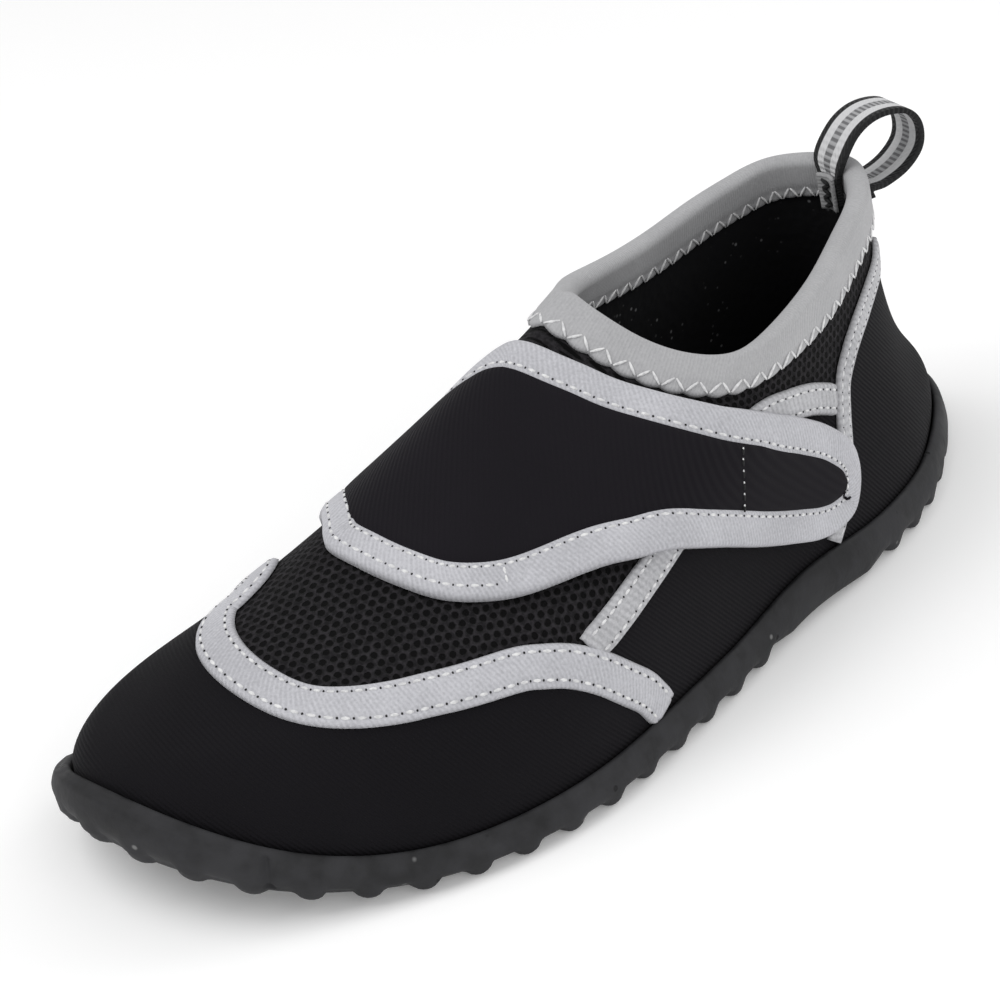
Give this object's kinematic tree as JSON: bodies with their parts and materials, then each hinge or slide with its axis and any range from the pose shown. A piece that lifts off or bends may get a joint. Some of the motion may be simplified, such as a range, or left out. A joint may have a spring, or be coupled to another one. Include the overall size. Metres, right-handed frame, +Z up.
{
  "type": "water shoe",
  "caption": "Slip-on water shoe for a left foot, with a neoprene upper, taped seams, an instep strap, a bound collar, a heel loop and a nubbed rubber sole.",
  "frame": {"origin": "on the ground, under the middle of the shoe's length and width", "axes": "+Z up, toe towards -Y, heel towards +Y, outer (lateral) side of this left shoe towards +X"},
  "size_m": [0.1038, 0.2758, 0.0914],
  "materials": {
    "sole_rubber": "matt dark grey rubber",
    "insole_foam": "black foam with a knit face",
    "neoprene": "near-black ribbed cloth and open mesh",
    "binding": "plain light grey stretch tape",
    "tape": "light grey ribbed tape",
    "strap_neoprene": "near-black ribbed cloth",
    "strap_tape": "light grey ribbed tape",
    "webbing": "webbing striped lengthwise in black, white and grey",
    "patch": "light grey tape with a dark tack stitch"
  },
  "bodies": {
    "root": {"outsole": "sole_rubber", "insole": "insole_foam", "upper": "neoprene", "collar_binding": "binding", "vamp_tape": "tape", "side_tape": "tape", "heel_tape_lateral": "tape", "heel_tape_medial": "tape", "strap": "strap_neoprene", "strap_binding": "strap_tape", "pull_loop": "webbing", "loop_patch": "patch"}
  },
  "joints": []
}
